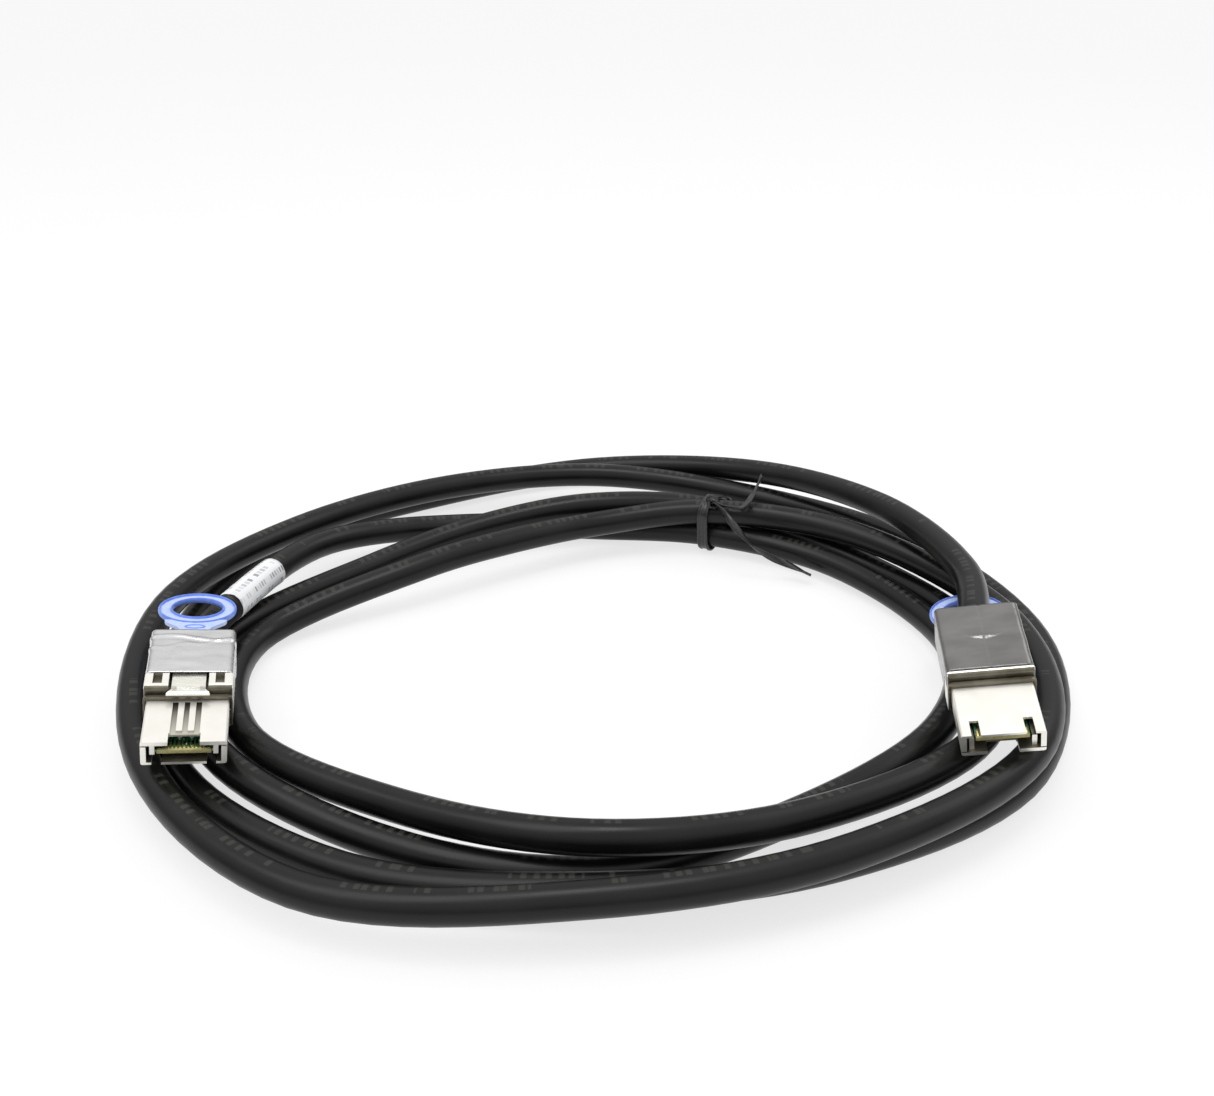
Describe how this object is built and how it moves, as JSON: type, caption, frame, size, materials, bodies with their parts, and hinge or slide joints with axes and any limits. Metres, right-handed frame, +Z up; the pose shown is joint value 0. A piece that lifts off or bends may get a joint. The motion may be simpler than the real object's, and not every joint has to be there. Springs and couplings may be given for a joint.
{
  "type": "external mini sas cable",
  "caption": "Round black data cable in a loose tied coil, with a latching metal plug and a blue finger ring on each end.",
  "frame": {"origin": "on the table, under the middle of the whole object's bounding box", "axes": "+X to the right and +Y to the back as the picture shows the coil, +Z up from the table; both plugs point towards -Y"},
  "size_m": [0.2278, 0.2128, 0.0316],
  "materials": {
    "jacket": "smooth black jacket with a soft sheen",
    "paper_label": "plain white wrap label",
    "tie": "ribbed black tie",
    "die_cast": "nickel-plated die casting",
    "spring_metal": "bright stamped spring metal",
    "pull_tab": "light blue moulded plastic",
    "card": "green circuit card with gold fingers",
    "foil": "light silver foil label",
    "grey_tape": "dark grey glossy tape",
    "ferrule": "crimped copper alloy",
    "grip": "moulded dark grey",
    "wire_pair": "foil-wrapped twin wire"
  },
  "bodies": {
    "cable_body": {"cable": "jacket", "cable_label": "paper_label", "twist_tie": "tie", "a_upper_shell": "die_cast", "a_lower_shell": "die_cast", "a_collar": "spring_metal", "a_paddle_card": "card", "a_foil_wrap": "foil", "a_ferrule": "ferrule", "a_cable_grip": "grip", "a_pair_upper_1": "wire_pair", "a_pair_upper_2": "wire_pair", "a_pair_upper_3": "wire_pair", "a_pair_upper_4": "wire_pair", "a_pair_lower_1": "wire_pair", "a_pair_lower_2": "wire_pair", "a_pair_lower_3": "wire_pair", "a_pair_lower_4": "wire_pair", "a_rivet_left": "spring_metal", "a_rivet_right": "spring_metal", "b_upper_shell": "die_cast", "b_lower_shell": "die_cast", "b_collar": "spring_metal", "b_paddle_card": "card", "b_foil_wrap": "grey_tape", "b_ferrule": "ferrule", "b_cable_grip": "grip", "b_pair_upper_1": "wire_pair", "b_pair_upper_2": "wire_pair", "b_pair_upper_3": "wire_pair", "b_pair_upper_4": "wire_pair", "b_pair_lower_1": "wire_pair", "b_pair_lower_2": "wire_pair", "b_pair_lower_3": "wire_pair", "b_pair_lower_4": "wire_pair", "b_rivet_left": "spring_metal", "b_rivet_right": "spring_metal"},
    "a_tab_body": {"a_pull_tab": "pull_tab", "a_latch_slide": "spring_metal"},
    "a_latch_body": {"a_latch_arm": "spring_metal"},
    "b_tab_body": {"b_pull_tab": "pull_tab", "b_latch_slide": "spring_metal"},
    "b_latch_body": {"b_latch_arm": "spring_metal"}
  },
  "joints": [
    {"name": "a_tab_pull", "type": "slide", "parent": "cable_body", "child": "a_tab_body", "axis": [-0.2178, 0.9746, 0.0523], "range_m": [0, 0.0025], "stiffness_N_per_m": 800, "springref_m": -0.001},
    {"name": "a_latch_tilt", "type": "hinge", "parent": "cable_body", "child": "a_latch_body", "pos_m": [-0.0904, -0.04232, 0.02232], "axis": [0.9648, 0.2231, -0.139], "range_deg": [0, 3]},
    {"name": "b_tab_pull", "type": "slide", "parent": "cable_body", "child": "b_tab_body", "axis": [0.0773, 0.9818, 0.1737], "range_m": [0, 0.0025], "stiffness_N_per_m": 800, "springref_m": -0.001},
    {"name": "b_latch_tilt", "type": "hinge", "parent": "cable_body", "child": "b_latch_body", "pos_m": [0.08493, -0.04026, 0.0181], "axis": [-0.9794, 0.1073, -0.171], "range_deg": [0, 3]}
  ],
  "couplings": [
    {"joint": "a_latch_tilt", "follows": "a_tab_pull", "rad_per_m": 20.9},
    {"joint": "b_latch_tilt", "follows": "b_tab_pull", "rad_per_m": 20.9}
  ]
}
